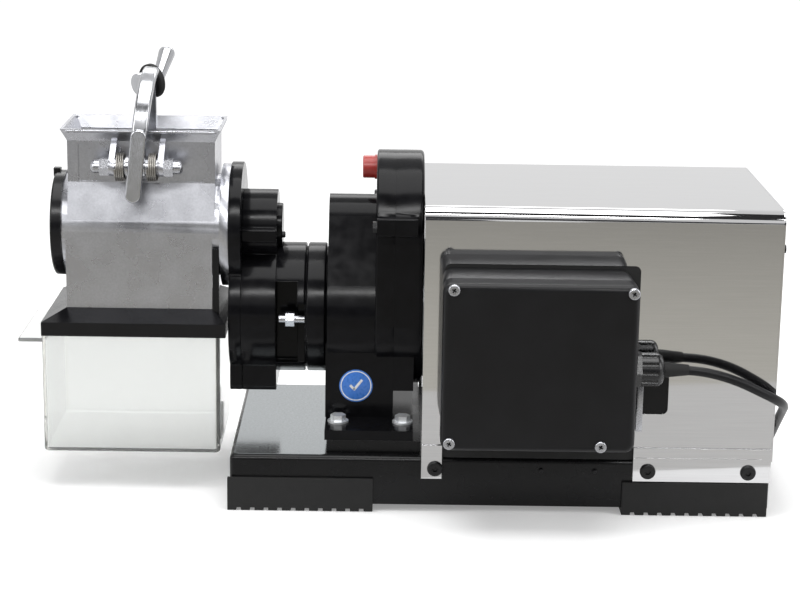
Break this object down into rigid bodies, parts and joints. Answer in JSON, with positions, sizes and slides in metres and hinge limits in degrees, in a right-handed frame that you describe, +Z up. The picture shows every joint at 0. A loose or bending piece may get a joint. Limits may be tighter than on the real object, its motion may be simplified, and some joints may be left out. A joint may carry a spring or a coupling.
{
  "type": "electric grater",
  "caption": "Bench electric grater: a geared motor under a steel cover drives a grating drum in a cast head with a hopper, press lever and pull-out bin.",
  "frame": {"origin": "middle of the machine's footprint, on the surface it stands on", "axes": "+Z up, +X along the drive shafts from the grating head towards the motor, +Y from the cable side towards the operator"},
  "size_m": [0.7515, 0.4558, 0.4213],
  "materials": {
    "black_paint": "semi-gloss black powder coat",
    "black_casting": "glossy black enamel on cast metal",
    "black_rubber": "matt",
    "black_plastic": "satin",
    "red_plastic": "gloss",
    "clear_plastic": "clear acrylic",
    "stainless": "polished stainless sheet",
    "zinc_steel": "bright zinc",
    "plain_steel": "machined",
    "chromed_steel": "polished",
    "plain_aluminium": "as cast",
    "polished_aluminium": "tumbled and polished casting"
  },
  "bodies": {
    "frame": {"base_tray": "black_paint", "foot_strips": "black_rubber", "pedestal_spacer": "black_paint", "foot_bolts": "zinc_steel", "motor_cover": "stainless", "cover_end_panel": "stainless", "cover_gear_side_panel": "stainless", "cover_screws": "black_paint", "gearbox_housing": "black_casting", "gearbox_cover": "black_casting", "gearbox_bearing_plate": "plain_aluminium", "gearbox_case_bolts": "black_paint", "oil_plug": "red_plastic", "shaft_bearings": "plain_steel", "gearbox_neck": "black_casting", "coupling_ring": "black_casting", "coupling_studs": "zinc_steel", "grater_gear_case": "black_casting", "grater_head_plate": "black_casting", "drum_bearing_cap": "black_casting", "grater_body": "polished_aluminium", "drum_end_cap": "black_plastic", "bin_collar": "black_plastic", "pivot_pin": "zinc_steel", "acorn_nuts": "zinc_steel", "spring_sleeves": "zinc_steel", "lever_springs": "plain_steel", "switch_box_body": "black_plastic", "switch_box_lid": "black_plastic", "lid_screws": "zinc_steel", "switch_box_gasket": "black_rubber", "switch_box_bracket": "black_paint", "terminal_block": "black_plastic", "run_capacitor": "plain_aluminium", "cable_gland": "black_plastic", "gland_nut": "black_plastic", "mains_cord": "black_rubber", "mains_cord_coil": "black_rubber", "mains_plug": "black_plastic", "motor_housing": "plain_aluminium", "motor_end_shields": "plain_aluminium", "motor_stator": "plain_steel", "fan_cowl": "black_paint", "switch_bezel": "black_plastic"},
    "output_drive": {"output_wheel": "plain_steel", "output_shaft": "plain_steel", "input_gear": "plain_steel"},
    "intermediate": {"intermediate_pinion_shaft": "plain_steel", "intermediate_wheel": "plain_steel"},
    "drum": {"drum_gear": "plain_steel", "drum_shaft": "plain_steel", "grating_drum": "stainless"},
    "rotor": {"motor_rotor": "plain_steel", "motor_fan": "black_plastic"},
    "lever": {"press_lever": "chromed_steel", "grip_ring": "black_rubber", "grip": "chromed_steel", "press_block": "polished_aluminium"},
    "bin": {"bin": "clear_plastic"},
    "rocker": {"switch_rocker": "red_plastic"}
  },
  "joints": [
    {"name": "drum_spin", "type": "hinge", "parent": "frame", "child": "drum", "pos_m": [-0.25, 0.037, 0.252], "axis": [1, 0, 0], "continuous": true},
    {"name": "output_spin", "type": "hinge", "parent": "frame", "child": "output_drive", "pos_m": [-0.08, 0.037, 0.17], "axis": [1, 0, 0], "continuous": true},
    {"name": "intermediate_spin", "type": "hinge", "parent": "frame", "child": "intermediate", "pos_m": [-0.02, 0.037, 0.252], "axis": [1, 0, 0], "continuous": true},
    {"name": "rotor_spin", "type": "hinge", "parent": "frame", "child": "rotor", "pos_m": [0.1, 0.037, 0.17], "axis": [1, 0, 0], "continuous": true},
    {"name": "lever_pivot", "type": "hinge", "parent": "frame", "child": "lever", "pos_m": [-0.248, -0.0236, 0.319], "axis": [1, 0, 0], "range_deg": [0, 45]},
    {"name": "bin_slide", "type": "slide", "parent": "frame", "child": "bin", "axis": [-1, 0, 0], "range_m": [0, 0.18]},
    {"name": "switch_tilt", "type": "hinge", "parent": "frame", "child": "rocker", "pos_m": [0.205, 0.1531, 0.205], "axis": [1, 0, 0], "range_deg": [0, 10]}
  ],
  "couplings": [
    {"joint": "output_spin", "follows": "drum_spin", "ratio": -0.54717},
    {"joint": "intermediate_spin", "follows": "drum_spin", "ratio": 1.4923},
    {"joint": "rotor_spin", "follows": "drum_spin", "ratio": -7.2482}
  ]
}
